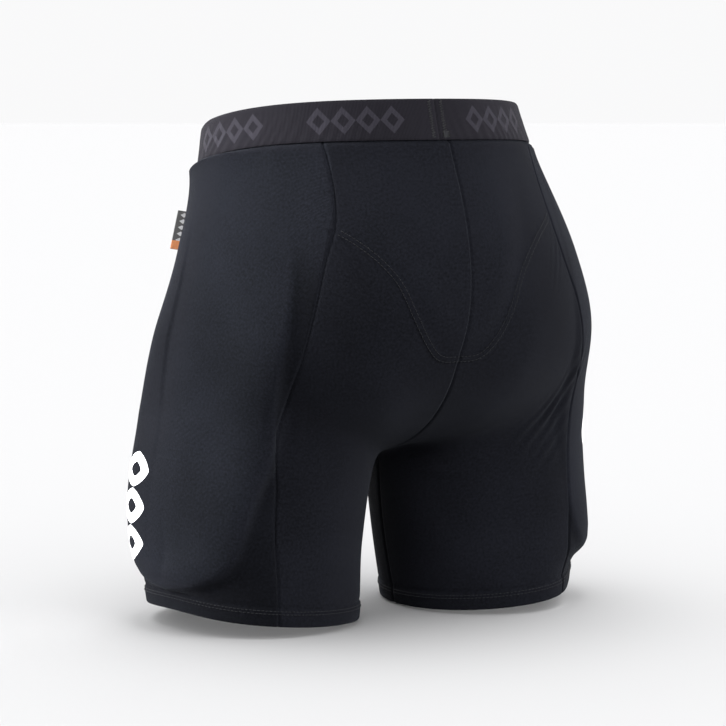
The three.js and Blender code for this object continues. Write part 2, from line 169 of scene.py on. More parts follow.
# how proud the cloth stands over the middle of a hip pad and along the pad's shoulder
PAD_PLATEAU = {1: ((0.12, 0.0008), (0.25, -0.0006), (0.34, -0.0030), (0.45, -0.0046),
                   (0.6, -0.0050), (0.7, -0.0050), (0.85, -0.0036)),
               -1: ((0.12, 0.0008), (0.25, 0.0004), (0.45, 0.0012), (0.6, 0.0), (0.7, -0.0024),
                    (0.78, -0.0024), (0.87, 0.0012))}
PAD_SHOULDER = ((0.20, 0.0004), (0.28, 0.0020), (0.42, 0.0060), (0.6, 0.0068), (0.95, 0.0062))
SHOULDER_BY_HAND = {1: 1.0, -1: 0.35}
# half the width of a hip pad's bulge, as a share of the way round, by how far down it is
PAD_BULGE = ((0.10, 0.150), (0.19, 0.178), (0.44, 0.178), (0.56, 0.160), (0.66, 0.152),
             (0.735, 0.144), (0.82, 0.134), (0.88, 0.116), (0.92, 0.082), (0.95, 0.030),
             (0.956, 0.0))
BULGE_END = PAD_BULGE[-1][0]
HIP_MIDDLE = 0.54
# the V seam: how far down it is by how far from the centre back
TAIL_SEAM = ((0, 0.290), (0.04, 0.286), (0.06, 0.268), (0.0875, 0.230), (0.11, 0.196),
             (0.135, 0.176), (0.18, 0.158), (0.24, 0.148))
# outline of each pad: its middle, half sizes, taper and power, as pad_reach takes them
HIP_PAD = (HIP_MIDDLE, 0.53), 0.138, 0.39, -0.1, 3.4
TAIL_PAD = (1.0, 0.162), 0.105, 0.098, -0.55, 2.8
# a dent along each kind of seam: depth and width in metres
PRINCESS_GROOVE = 0.0014, 0.0012
POUCH_GROOVE = 0.0012, 0.0012
CENTRE_GROOVE = 0.0012, 0.0011
INSEAM_GROOVE = 0.0010, 0.0016
HANDS = (("left", 1), ("right", -1))
# patches of ripples: place (around, down), lean, spacing, length, width, height
FOLDS = {
    1: (((0.80, 0.17), 0.7, 0.009, 0.020, 0.012, 0.0005),
        ((0.705, 0.56), 1.9, 0.015, 0.018, 0.014, 0.0008),
        ((0.695, 0.66), 2.0, 0.014, 0.013, 0.010, 0.0006),
        ((0.975, 0.955), 1.5, 0.008, 0.012, 0.008, 0.0004)),
    -1: (((0.77, 0.20), 0.9, 0.009, 0.018, 0.010, 0.0003),
         ((0.715, 0.50), 1.25, 0.013, 0.030, 0.014, 0.0007),
         ((0.735, 0.575), 0.95, 0.014, 0.026, 0.016, 0.0008),
         ((0.72, 0.655), 0.75, 0.013, 0.020, 0.012, 0.0005)),
}


def through(place, knots):
    """Smooth curve through a few (place, value) knots: cubic pieces whose slope at a knot is
    the mean of the straight slopes on either side of it."""
    at, value = np.array(knots, float).T
    straight = np.diff(value) / np.diff(at)
    slope = np.concatenate([straight[:1], (straight[1:] + straight[:-1]) / 2, straight[-1:]])
    place = np.clip(place, at[0], at[-1])
    i = np.clip(np.searchsorted(at, place, side="right") - 1, 0, len(at) - 2)
    span = at[i + 1] - at[i]
    t = (place - at[i]) / span
    rise = t * t * (3 - 2 * t)
    return value[i] + (value[i + 1] - value[i]) * rise + span * t * (1 - t) * (
        (1 - t) * slope[i] - t * slope[i + 1])


def smooth(value, low, high):
    """0 below low, 1 above high, and the cubic 3t^2 - 2t^3 between them."""
    t = np.clip((value - low) / (high - low), 0, 1)
    return t * t * (3 - 2 * t)


def bare_form(around, down):
    """The left half of the body that the cloth lies on. around runs 0..1 from centre front to
    centre back, down 0..1 from waist to hem. A section is half an ellipse (sin, cos of pi around)
    that turns, by the power 3.1 of the way to the crotch, into a closed leg loop (cos, sin of
    2 pi around); its height falls from the side to the two centre lines as cos and cos squared."""
    above = np.clip(down / CROTCH_DOWN, 0, 1)
    below = np.clip((down - CROTCH_DOWN) / (1 - CROTCH_DOWN), 0, 1)
    divide = above ** 3.1
    fall = 1 - (1 - above) ** 1.9
    spread = 0.026 * below
    side, turn = np.cos(pi * around), 2 * pi * around
    width = through(down, HALF_WIDTH)
    front = around < 0.5
    trunk = np.where(front, through(down, TRUNK_FRONT), through(down, TRUNK_BACK))
    loop = np.where(front, through(down, LOOP_FRONT), through(down, LOOP_BACK))
    x = (1 - divide) * width * np.sin(pi * around) + divide * (
        (width + spread) / 2 - (width - spread) / 2 * np.cos(turn))
    y = through(down, CENTRE_SHIFT) - (1 - divide) * trunk * side - divide * loop * np.sin(turn)
    inseam = INSEAM_LENGTH * (1 - below)
    front_height = WAIST_FRONT_HEIGHT + (inseam - WAIST_FRONT_HEIGHT) * fall
    back_height = WAIST_BACK_HEIGHT + (inseam - WAIST_BACK_HEIGHT) * fall
    side_height = WAIST_SIDE_HEIGHT + (HEM_SIDE_HEIGHT - WAIST_SIDE_HEIGHT) * down
    z = side_height - (back_height - front_height) / 2 * side + (
        (back_height + front_height) / 2 - side_height) * side ** 2
    return np.stack([x, y, z], -1)


def neighbours(grid):
    """The same grid moved one step up, down and to both sides. Above the crotch the centre lines
    meet their mirror image; below it the first and last columns are one line, the inseam."""
    crotch = round(CROTCH_DOWN * FORM_ROWS)
    mirror = np.array([-1.0, 1, 1])
    ahead = np.concatenate([grid[:, 1:], grid[:, -2:-1] * mirror], 1)
    behind = np.concatenate([grid[:, 1:2] * mirror, grid[:, :-1]], 1)
    ahead[crotch:, -1] = grid[crotch:, 1]
    behind[crotch:, 0] = grid[crotch:, -2]
    up = np.concatenate([grid[:1], grid[:-1]])
    lower = np.concatenate([grid[1:], grid[-1:]])
    return ahead, behind, up, lower


def eased_form():
    """The form on a fine grid, eased as stretched cloth is: near the centre lines and the crotch
    each point moves many times to the mean of its four neighbours, which rounds the crease."""
    down, around = np.meshgrid(np.linspace(0, 1, FORM_ROWS + 1),
                               np.linspace(0, 1, FORM_COLUMNS + 1), indexing="ij")
    grid = bare_form(around, down)
    crotch = round(CROTCH_DOWN * FORM_ROWS)
    beside = np.minimum(around, 1 - around)
    near = 1 - smooth(beside, 0.02, 0.16)
    level = smooth(down, 0.12, 0.4) * (1 - smooth(down, CROTCH_DOWN + 0.04, CROTCH_DOWN + 0.22))
    fold = np.exp(-((down - CROTCH_DOWN) / 0.17) ** 2) * (1 - smooth(beside, 0.30, 0.45))
    pull = np.maximum(near * level, fold)[..., None] * 0.9
    for _ in range(EASING_STEPS):
        ahead, behind, up, lower = neighbours(grid)
        grid = grid + pull * ((ahead + behind + up + lower) / 4 - grid)
        seam = (grid[crotch:, 0] + grid[crotch:, -1]) / 2
        grid[crotch:, 0] = seam
        grid[crotch:, -1] = seam
        grid[:crotch + 1, (0, -1), 0] = 0
    return grid


form = eased_form()
ahead, behind, up, lower = neighbours(form)
across_step, down_step = ahead - behind, lower - up
form_normal = np.cross(down_step, across_step)
form_normal /= np.linalg.norm(form_normal, axis=-1, keepdims=True) + 1e-12
metres_around = np.linalg.norm(across_step, axis=-1) * FORM_COLUMNS / 2
metres_down = np.linalg.norm(down_step, axis=-1) * FORM_ROWS / 2
metres_down[(0, -1), :] *= 2
form_data = np.concatenate([form, form_normal, metres_around[..., None],
                            metres_down[..., None]], -1)


def form_at(around, down):
    """Point, unit normal, metres per unit around and metres per unit down, read from the form's
    grid with cubic (Catmull-Rom) weights both ways."""
    around, down = np.broadcast_arrays(np.asarray(around, float), np.asarray(down, float))
    parts = []
    for place, count in ((around, FORM_COLUMNS), (down, FORM_ROWS)):
        scaled = np.clip(place, 0, 1) * count
        first = np.clip(np.floor(scaled).astype(int), 0, count - 1)
        t = scaled - first
        weights = (-t + 2 * t**2 - t**3, 2 - 5 * t**2 + 3 * t**3,
                   t + 4 * t**2 - 3 * t**3, t**3 - t**2)
        parts.append([(np.clip(first + k - 1, 0, count), w / 2) for k, w in enumerate(weights)])
    total = 0
    for column, column_weight in parts[0]:
        for row, row_weight in parts[1]:
            total = total + form_data[row, column] * (column_weight * row_weight)[..., None]
    normal = total[..., 3:6] / np.linalg.norm(total[..., 3:6], axis=-1, keepdims=True)
    return total[..., :3], normal, total[..., 6], total[..., 7]


def band_down(around, depth):
    """The share of down that lies that deep along the cloth below the waist edge."""
    _, _, _, per_down = form_at(around, np.full(np.shape(around), 0.03))
    return depth / per_down


def off_curve(off, slope, per_off, per_along):
    """Metres off a sloping curve: the straight offset, corrected for how steeply it runs."""
    return off / np.sqrt((1 / per_off) ** 2 + (slope / per_along) ** 2)


def hip_edge_distance(around, down, per_around, per_down):
    """Metres outside (+) or inside (-) the outline of a hip pad's bulge."""
    slope = (through(down + 0.004, PAD_BULGE) - through(down - 0.004, PAD_BULGE)) / 0.008
    wide = np.where(down > BULGE_END, -0.5 * (down - BULGE_END), through(down, PAD_BULGE))
    return off_curve(np.abs(around - HIP_MIDDLE) - wide, slope, per_around, per_down)


def tail_seam_distance(around, down, per_around, per_down):
    """Metres below (+) or above (-) the V seam of the tailbone pocket, across the seam."""
    beside = 1 - around
    slope = (through(beside + 0.002, TAIL_SEAM) - through(beside - 0.002, TAIL_SEAM)) / 0.004
    return off_curve(down - through(beside, TAIL_SEAM), slope, per_down, per_around)


def pad_reach(around, down, middle, half_around, half_down, taper, power):
    """How far a place is from a pad's middle: 1 on its outline, which is a superellipse whose
    width changes by taper from its middle to its end."""
    along = (down - middle[1]) / half_down
    wide = half_around * (1 + taper * np.clip(along, -1.4, 1.4))
    return ((np.abs(around - middle[0]) / wide) ** power + np.abs(along) ** power) ** (1 / power)


def tail_rise(around, down):
    """How far the tailbone pad lifts what lies over it."""
    return 0.0025 * (1 - smooth(pad_reach(around, down, *TAIL_PAD), 0.7, 1.3))


def mound(around, down, place, half):
    """1 at a place and fading round it as a bell curve of those half sizes."""
    return np.exp(-((around - place[0]) / half[0]) ** 2 - ((down - place[1]) / half[1]) ** 2)


def groove(distance, depth, width):
    """A dent along a seam: depth times the bell curve of the distance over the width."""
    return -depth * np.exp(-(distance / width) ** 2)


def ripples(around, down, per_around, per_down, place, lean, spacing, length, width, height):
    """A few parallel ripples in tense cloth round a place: a cosine across them, faded by a bell
    curve along and across. lean is the angle of the ripples from level."""
    e = (around - place[0]) * per_around
    s = (down - place[1]) * per_down
    along = e * cos(lean) + s * sin(lean)
    across = -e * sin(lean) + s * cos(lean)
    return height * np.cos(2 * pi * across / spacing) * np.exp(
        -(along / length) ** 2 - (across / width) ** 2)


def centre_seam(down, hand):
    """Where the centre back seam runs: it leans to the wearer's right under the waistband."""
    return 1 + hand * 0.02 * (1 - smooth(down, 0.08, 0.32))


def drawn_in(around, down, hand):
    """How far the right hem is drawn in toward the thigh below the pad, behind the outer side."""
    beside = np.exp(-((around - 0.61) / 0.085) ** 2)
    return 0.0095 * (hand < 0) * smooth(down, 0.895, 0.960) * beside


def relief(around, down, hand):
    """How far the cloth stands off the form: proud over each pad and under the waistband at the
    side, pinched at every seam, thick at the turned hem, and rippled where it is tense."""
    _, _, per_around, per_down = form_at(around, down)
    outside = hip_edge_distance(around, down, per_around, per_down)
    plateau, shoulder = through(down, PAD_PLATEAU[hand]), through(down, PAD_SHOULDER)
    shoulder = plateau + (shoulder - plateau) * SHOULDER_BY_HAND[hand]
    rise = plateau + (shoulder - plateau) * np.exp(-((outside + 0.010) / 0.034) ** 2)
    rise = rise * (1 - smooth(outside, -0.0055, 0.0055))
    rise = rise - drawn_in(around, down, hand)
    rise = rise + tail_rise(around, down)
    from_band = (down - band_down(around, BAND_DEPTH)) * per_down
    beside = smooth(around, 0.34, 0.42) * (1 - smooth(around, 0.56, 0.66))
    rise = rise + 0.0068 * beside * smooth(from_band, 0, 0.005) * np.exp(-from_band.clip(0) / 0.020)
    rise = rise - 0.0032 * (1 - smooth(from_band, -0.001, 0.003))
    to_back = (around - through(down, BACK_SEAM[hand])) * per_around
    to_front = (around - through(down, FRONT_SEAM)) * per_around
    to_pouch = (around - through(down, POUCH_SEAM)) * per_around
    rise = rise + groove(to_back, *PRINCESS_GROOVE) + groove(to_front, *PRINCESS_GROOVE)
    past_crotch = down - CROTCH_DOWN
    rise = rise + groove(to_pouch, *POUCH_GROOVE) * (1 - smooth(past_crotch, -0.04, -0.01))
    to_tail = tail_seam_distance(around, down, per_around, per_down)
    in_back = smooth(around, 0.752, 0.775)
    ridge = 0.0006 * (smooth(to_tail, -0.0045, -0.0025) - smooth(to_tail, 0.0025, 0.0045))
    rise = rise + in_back * (ridge + groove(to_tail - 0.0034, 0.0006, 0.0009)
                             + groove(to_tail + 0.0034, 0.0004, 0.0009))
    to_centre = (centre_seam(down, hand) - around) * per_around
    rise = rise + groove(to_centre, *CENTRE_GROOVE) * (1 - smooth(past_crotch, -0.05, -0.01))
    to_inseam = np.minimum(around, 1 - around) * per_around
    rise = rise + groove(to_inseam, *INSEAM_GROOVE) * smooth(past_crotch, 0.01, 0.05)
    if hand < 0:
        rise = rise - 0.0065 * mound(around, down, (0.945, CROTCH_DOWN), (0.04, 0.05))
        leant = down + 0.3 * (around - 0.90)
        rise = rise + 0.0012 * mound(around, leant, (0.90, 0.655), (0.045, 0.018))
    from_stitch = (1 - down) * per_down - HEM_DEPTH
    pucker = np.sin(around * 2 * pi * 64 + 1.7 * np.sin(around * 2 * pi * 9))
    rise = rise + 0.0009 * (1 - smooth(from_stitch, -0.001, 0.0015))
    rise = rise + groove(from_stitch, 0.0009 + 0.00035 * pucker, 0.0022)
    rise = rise + 0.00016 * pucker * np.exp(-(from_stitch / 0.006) ** 2)
    for patch in FOLDS[hand]:
        rise = rise + ripples(around, down, per_around, per_down, *patch)
    return rise


def hem_scale(around):
    """Metres per unit down near the hem."""
    return form_at(around, NEAR_HEM + 0 * around)[3]


def cloth(around, down, hand, lift=0.0):
    """Point at lift metres over the outer face of the cloth; hand is 1 left, -1 right. Past the
    centre back, around over 1, it goes on over the other half."""
    past = around > 1
    near = np.where(past, 2 - around, around)
    point, normal, _, _ = form_at(near, down)
    rise = np.where(past, relief(near, down, -hand), relief(near, down, hand))
    point = point + normal * (rise + lift)[..., None]
    at_hem = smooth(down, 0.82, 1.0)
    point[..., 0] -= 0.004 * at_hem * smooth(near, 0.76, 0.88) * (hand > 0)
    point[..., 2] += 0.0035 * at_hem * np.exp(-((near - 0.54) / 0.08) ** 2) * (hand > 0)
    on_centre_line = (np.minimum(near, 1 - near) < 1e-6) & (down < CROTCH_DOWN + 0.004)
    beside = np.where(on_centre_line, 0, np.maximum(point[..., 0], 0))
    point[..., 0] = beside * np.where(past, -hand, hand)
    return point + FORM_PLACE


def flat_spread(points):
    """Each grid point's place on the flat cloth: the length along its row from the middle column,
    and the length down its column from the top row."""
    step = np.linalg.norm(np.diff(points, axis=1), axis=-1)
    across = np.concatenate([np.zeros((len(points), 1)), np.cumsum(step, 1)], 1)
    across -= across[:, across.shape[1] // 2][:, None]
    step = np.linalg.norm(np.diff(points, axis=0), axis=-1)
    along = np.concatenate([np.zeros((1, points.shape[1])), np.cumsum(step, 0)])
    along = along.mean(1, keepdims=True) * np.ones((1, points.shape[1]))
    return np.stack([across, -along], -1)


def mesh_piece(name, points, faces, body, material, slot_name, replaced=(), spread=None):
    """A mesh piece from points and quads, riding a body. spread gives each point's place on the
    flat cloth in metres, kept as the UV map cloth_metres."""
    mesh = bpy.data.meshes.new(name)
    mesh.vertices.add(len(points))
    mesh.vertices.foreach_set("co", np.asarray(points, np.float32).ravel())
    mesh.loops.add(faces.size)
    mesh.loops.foreach_set("vertex_index", faces.astype(np.int32).ravel())
    mesh.polygons.add(len(faces))
    mesh.polygons.foreach_set("loop_start", np.arange(0, faces.size, 4, dtype=np.int32))
    mesh.update(calc_edges=True)
    mesh.validate()
    if spread is not None:
        corner = np.zeros(len(mesh.loops), np.int32)
        mesh.loops.foreach_get("vertex_index", corner)
        layer = mesh.uv_layers.new(name="cloth_metres")
        layer.data.foreach_set("uv", spread[corner].astype(np.float32).ravel())
    mesh.polygons.foreach_set("use_smooth", np.ones(len(mesh.polygons), bool))
    mesh.set_sharp_from_angle(angle=radians(50))
    mesh.materials.append(material)
    piece = bpy.data.objects.new(name, mesh)
    bpy.context.scene.collection.objects.link(piece)
    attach(piece, body)
    if replaced:
        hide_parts(*replaced)
    return piece


def closed_sheet(name, outer, inner, flip, *looks, spread=None, **more):
    """Closed mesh of a cloth piece from two grids of points, one for each face, joined round the
    rim. flip turns the faces for a mirrored piece; spread is as flat_spread gives it."""
    rows, columns = outer.shape[:2]
    count = rows * columns
    index = np.arange(count).reshape(rows, columns)
    face = np.stack([index[:-1, :-1], index[1:, :-1], index[1:, 1:], index[:-1, 1:]], -1)
    face = face.reshape(-1, 4)
    rim = np.concatenate([index[0, :-1], index[:-1, -1], index[-1, :0:-1], index[:0:-1, 0]])
    after = np.roll(rim, -1)
    wall = np.stack([rim, after, after + count, rim + count], -1)
    faces = np.concatenate([face, face[:, ::-1] + count, wall])
    if flip:
        faces = faces[:, ::-1]
    points = np.concatenate([outer.reshape(-1, 3), inner.reshape(-1, 3)])
    spread = flat_spread(outer) if spread is None else spread
    spread = np.concatenate([spread.reshape(-1, 2)] * 2)
    return mesh_piece(name, points, faces, *looks, spread=spread, **more)


def mark_pad_light_shade(piece, painted_light_share):
    """Keeps each point's painted light, 0 to 1, for knit_material: 1 is a painted highlight, 0
    painted shade and 0.5 neither.
    """
    attribute = piece.data.attributes.new("pad_light_shade", "FLOAT", "POINT")
    attribute.data.foreach_set("value", painted_light_share.astype(np.float32))


def panel_grid(start, end, columns, rows):
    """around and down of a panel's grid: from where it is tucked behind the waistband to the hem
    fold, between two seams given as functions of down. Its columns stand closer together beside
    the seams."""
    s = np.linspace(0, 1, columns)[None, :]
    s = 0.5 * s + 0.25 * (1 - np.cos(pi * s))
    t = np.linspace(0, 1, rows)[:, None]
    top = band_down(np.array([[0.5]]), BAND_DEPTH - TUCK)
    rough = top + t * (1 - top)
    around = start(rough) + s * (end(rough) - start(rough))
    top = band_down(around, BAND_DEPTH - TUCK)
    return around, top + t * (1 - FOLD_RADIUS / hem_scale(around) - top)


def shell_panel(name, hand, grid, material, slot_name):
    """A shell panel with its turned hem. The cloth runs down its grid, round a half circle of
    FOLD_RADIUS and up again inside as far as the hem's stitching."""
    around, down = grid
    per_down = hem_scale(around[-1])
    angle = np.linspace(0, pi, 9)[1:, None]
    rise = np.linspace(0, HEM_DEPTH, 8)[1:, None]
    faces = []
    for radius in (FOLD_RADIUS, FOLD_RADIUS - CLOTH_THICKNESS):
        fold_down = down[-1] + radius * np.sin(angle) / per_down
        fold_lift = -FOLD_RADIUS + radius * np.cos(angle) + 0 * fold_down
        inside_down = down[-1] - rise / per_down
        inside_lift = -FOLD_RADIUS - radius + 0 * inside_down
        lift = np.concatenate([radius - FOLD_RADIUS + 0 * down, fold_lift, inside_lift])
        all_around = np.concatenate([around] + [around[-1:]] * (len(angle) + len(rise)))
        all_down = np.concatenate([down, fold_down, inside_down])
        faces.append(cloth(all_around, all_down, hand, lift))
    piece = closed_sheet(f"{name}_cloth", *faces, hand < 0, "garment", material, slot_name,
                         replaced=[f"{name}_panel"])
    # Painted light on the side rib: a painted highlight over the hip pad's face and along the
    # panel's top, where the key light from the left falls, and painted shade beyond the pad's
    # outline, where the panel turns away from it. The other panels get neither.
    _, _, per_around, per_down = form_at(all_around, all_down)
    off_pad = hip_edge_distance(all_around, all_down, per_around, per_down)
    pad_light_share = 1 - smooth(off_pad, -0.004, 0.002)
    pad_light_share = 0.8 + (pad_light_share - 0.8) * smooth(all_down, 0.16, 0.28)
    pad_light_share = np.where(slot_name == "side_rib_knit", pad_light_share, NO_PAINTED_LIGHT)
    mark_pad_light_shade(piece, np.tile(pad_light_share.ravel(), 2))


def new_material(name, **values):
    """A material with a Principled shader whose constant sockets are set by name."""
    material = bpy.data.materials.new(name)
    material.use_nodes = True
    shader = material.node_tree.nodes["Principled BSDF"]
    for socket, value in values.items():
        shader.inputs[socket.replace("_", " ")].default_value = value
    return material, material.node_tree, shader


def calculate(operation, *values):
    """Adds a Math node of the operation to the values' node tree; each value is a number or
    another node's socket, and at least one is a socket."""
    tree = next(value.id_data for value in values if not isinstance(value, (int, float)))
    node = tree.nodes.new("ShaderNodeMath")
    node.operation = operation
    for socket, value in zip(node.inputs, values):
        if isinstance(value, (int, float)):
            socket.default_value = value
        else:
            tree.links.new(value, socket)
    return node.outputs[0]


def times(first, second):
    return calculate("MULTIPLY", first, second)


def plus(first, second):
    return calculate("ADD", first, second)


def minus(first, second):
    return calculate("SUBTRACT", first, second)


def over(first, second):
    return calculate("DIVIDE", first, second)


def wave(place, pitch):
    """A sine along a place, one turn in each pitch metres."""
    return calculate("SINE", times(place, 2 * pi / pitch))


def off_middle(place):
    """How far a place is from the middle of the unit step that it is in."""
    return calculate("ABSOLUTE", minus(calculate("FRACT", place), 0.5))


def paint(shader, socket, value):
    """Links a value to one of the shader's sockets."""
    value.id_data.links.new(value, shader.inputs[socket])


def mixed(factor, first, second):
    """The first colour where the factor is 0 and the second where it is 1."""
    node = factor.id_data.nodes.new("ShaderNodeMix")
    node.data_type = "RGBA"
    for socket, value in zip((node.inputs[0], node.inputs[6], node.inputs[7]),
                             (factor, first, second)):
        factor.id_data.links.new(value, socket)
    return node.outputs[2]


def cloth_place(tree):
    """The two sockets with the place on the flat cloth in metres."""
    place = tree.nodes.new("ShaderNodeUVMap")
    place.uv_map = "cloth_metres"
    split = tree.nodes.new("ShaderNodeSeparateXYZ")
    tree.links.new(place.outputs[0], split.inputs[0])
    return place.outputs[0], split.outputs[0], split.outputs[1]


def noise(vector, scale, detail):
    """Fractal noise of that many features a metre."""
    tree = vector.id_data
    node = tree.nodes.new("ShaderNodeTexNoise")
    node.inputs["Scale"].default_value = scale
    node.inputs["Detail"].default_value = detail
    tree.links.new(vector, node.inputs["Vector"])
    return node.outputs[0]


def between(factor, dark, light, low=0.0, high=1.0):
    """A colour ramp from dark at low to light at high."""
    tree = factor.id_data
    ramp = tree.nodes.new("ShaderNodeValToRGB")
    ramp.color_ramp.elements[0].color = (*dark, 1)
    ramp.color_ramp.elements[0].position = low
    ramp.color_ramp.elements[1].color = (*light, 1)
    ramp.color_ramp.elements[1].position = high
    tree.links.new(factor, ramp.inputs[0])
    return ramp.outputs[0]


def scaled(colour, factor):
    """A colour times a factor, each a socket."""
    tree = colour.id_data
    node = tree.nodes.new("ShaderNodeVectorMath")
    node.operation = "SCALE"
    tree.links.new(colour, node.inputs[0])
    tree.links.new(factor, node.inputs["Scale"])
    return node.outputs[0]


def remap(value, low, high, to_low, to_high):
    """Maps a value's range low..high onto to_low..to_high."""
    tree = value.id_data
    node = tree.nodes.new("ShaderNodeMapRange")
    for socket, number in zip(node.inputs[1:5], (low, high, to_low, to_high)):
        socket.default_value = number
    tree.links.new(value, node.inputs[0])
    return node.outputs[0]


def bumped(shader, height, distance):
    """Raises the shader's surface by height times a distance in metres."""
    tree = height.id_data
    bump = tree.nodes.new("ShaderNodeBump")
    bump.inputs["Distance"].default_value = distance
    bump.inputs["Strength"].default_value = 0.9
    tree.links.new(height, bump.inputs["Height"])
    paint(shader, "Normal", bump.outputs[0])


def knit_group():
    """Node group of plain knit: V-shaped loops in upright wales at a given gauge, in metres.
    Gives the loops' height and the cloth's mottle: slow clouds and the grain of its yarns."""
    group = bpy.data.node_groups.new("knit_loops", "ShaderNodeTree")
    for name, value in (("Gauge", 0.0011), ("Course", 0.0008), ("Slant", 0.6)):
        socket = group.interface.new_socket(name, in_out="INPUT", socket_type="NodeSocketFloat")
        socket.default_value = value
    for name in ("Height", "Mottle"):
        group.interface.new_socket(name, in_out="OUTPUT", socket_type="NodeSocketFloat")
    given = group.nodes.new("NodeGroupInput")
    result = group.nodes.new("NodeGroupOutput")
    place, across, along = cloth_place(group)
    jitter = times(minus(noise(place, 60, 2), 0.5),
                       0.35)
    wale = plus(over(across, given.outputs["Gauge"]), jitter)
    side = off_middle(wale)
    ridge = calculate("SINE", times(side, 2 * pi))
    course = over(along, given.outputs["Course"])
    slant = times(given.outputs["Slant"], 2.0)
    slanted = plus(course, times(side, slant))
    loop = calculate("SINE", times(slanted, 2 * pi))
    lifted = times(calculate("MULTIPLY_ADD", loop, 0.5, 1.0), ridge)
    group.links.new(times(lifted, 0.66), result.inputs["Height"])
    grain = times(noise(place, 520, 2), 0.55)
    group.links.new(calculate("MULTIPLY_ADD", noise(place, 9, 6), 0.45, grain),
                    result.inputs["Mottle"])
    return group


knit_loops = knit_group()


def knit_material(name, dark, light, gauge, course, slant, depth, sheen, roughness):
    """Stretch knit: colour between dark in the gaps and light on the loops, with slow mottling,
    made lighter by a painted highlight and darker by painted shade as a point attribute gives them,
    with a loop-shaped bump and a faint sheen from the fibre ends."""
    material, tree, shader = new_material(name, Sheen_Weight=sheen, Sheen_Roughness=0.45,
                                          Sheen_Tint=(0.66, 0.7, 0.82, 1), Specular_IOR_Level=0.02)
    knit = tree.nodes.new("ShaderNodeGroup")
    knit.node_tree = knit_loops
    knit.inputs["Gauge"].default_value = gauge
    knit.inputs["Course"].default_value = course
    knit.inputs["Slant"].default_value = slant
    colour = between(knit.outputs["Height"], dark, light, 0.1, 0.95)
    shade = remap(knit.outputs["Mottle"], 0.38, 0.62, 0.6, 1.4)
    pad_light_shade = tree.nodes.new("ShaderNodeAttribute")
    pad_light_shade.attribute_name = "pad_light_shade"
    # painted light: the knit's colour is scaled from 0.7 in painted shade to 1.3 in a painted
    # highlight
    painted_pad_light = remap(pad_light_shade.outputs["Fac"], 0.0, 1.0, 0.7, 1.3)
    shade = times(shade, painted_pad_light)
    paint(shader, "Base Color", scaled(colour, shade))
    rough = remap(knit.outputs["Mottle"], 0.3, 0.7, roughness - 0.05, roughness + 0.05)
    paint(shader, "Roughness", rough)
    bumped(shader, knit.outputs["Height"], depth)
    return material


KNIT_GAPS = (0.0018, 0.0020, 0.0029)
rib_knit = knit_material("side_rib_knit", KNIT_GAPS, (0.0076, 0.0083, 0.0112), 0.0012, 0.0009,
                         0.5, 0.00018, 0.035, 0.85)
for hand_name, hand in HANDS:
    side_grid = panel_grid(lambda down: through(down, FRONT_SEAM),
                           lambda down: through(down, BACK_SEAM[hand]), 110, 220)
    shell_panel(f"{hand_name}_side", hand, side_grid, rib_knit, "side_rib_knit")

# ---------------------------------------------------------------- back panels
# Smooth jersey from the princess seam to the centre back seam, cut in one with the back of the
# thigh. The tailbone pocket is held behind it by a V of twin-needle coverstitch.
jersey = knit_material("outer_jersey", KNIT_GAPS, (0.0072, 0.0077, 0.0105), 0.0009, 0.0007, 0.6,
                       0.00014, 0.03, 0.85)
for hand_name, hand in HANDS:
    back_grid = panel_grid(lambda down: through(down, BACK_SEAM[hand]),
                           lambda down: centre_seam(down, hand), 120, 230)
    shell_panel(f"{hand_name}_back", hand, back_grid, jersey, "outer_knit")

# ---------------------------------------------------------------- front panels
# The same jersey over the front of each thigh, from the pouch seam, and below it the inseam, to
# the front princess seam.
for hand_name, hand in HANDS:
    front_grid = panel_grid(lambda down: through(down, POUCH_SEAM) * (down < CROTCH_DOWN),
                            lambda down: through(down, FRONT_SEAM), 110, 230)
    shell_panel(f"{hand_name}_front", hand, front_grid, jersey, "outer_knit")

# ---------------------------------------------------------------- front pouch
# One piece of the jersey across the centre front, narrowing to a point at the crotch, sewn to
# both front panels.
s = np.linspace(-1, 1, 121)[None, :]
t = np.linspace(0, 1, 130)[:, None]
pouch_top = band_down(np.array([[0.5]]), BAND_DEPTH - TUCK)
pouch_around = np.abs(s) * through(pouch_top + t * (CROTCH_DOWN - pouch_top), POUCH_SEAM)
pouch_top = band_down(pouch_around, BAND_DEPTH - TUCK)
pouch_down = pouch_top + t * (CROTCH_DOWN - pouch_top)
pouch_faces = []
for lift in (0.0, -CLOTH_THICKNESS):
    points = cloth(pouch_around, pouch_down, 1, lift) - FORM_PLACE
    points[..., 0] *= np.sign(s)
    pouch_faces.append(points + FORM_PLACE)
pouch = closed_sheet("front_pouch_cloth", *pouch_faces, False, "garment", jersey, "outer_knit",
                     replaced=["front_centre_panel"])
# no painted light on the pouch: its knit keeps its own colour
mark_pad_light_shade(pouch, np.full(len(pouch.data.vertices), NO_PAINTED_LIGHT))

# ---------------------------------------------------------------- waistband
# One length of soft jacquard elastic, woven with a row of lozenges every eleven centimetres,
# three at the centre front and four elsewhere. Its ends butt at the centre back over a tape,
# held by a zigzag on each side.
BAND_THICKNESS = 0.0018
BAND_EDGE = 0.002
MOTIF_PERIOD = 0.1113
MOTIF_PHASE = 0.065
MOTIF_REPEATS = 7
MOTIF_STRETCH = (0.0, 0.0), (0.65, 1.0), (1.0, 1.0)
LOZENGE_WIDTH = 0.019
LOZENGE_HALF_HEIGHT = 0.011
JOIN_GAP = 0.00015


def band_point(signed, depth, lift):
    """Point on the waistband: signed is the way round from the centre front, + on the left."""
    around = np.abs(signed)
    point, normal, per_around, _ = form_at(around, band_down(around, depth))
    arc = around * per_around
    lift = lift + 0.00018 * np.sin(arc / 0.0014 + 2 * np.sin(arc / 0.011)) * (depth / BAND_DEPTH)
    lift = lift + groove((1 - around) * per_around, 0.0006, 0.0009)
    point = point + normal * lift[..., None]
    point[..., 0] = np.where(around > 0.5, np.maximum(point[..., 0], JOIN_GAP), point[..., 0])
    point[..., 0] *= np.sign(signed)
    return point + FORM_PLACE


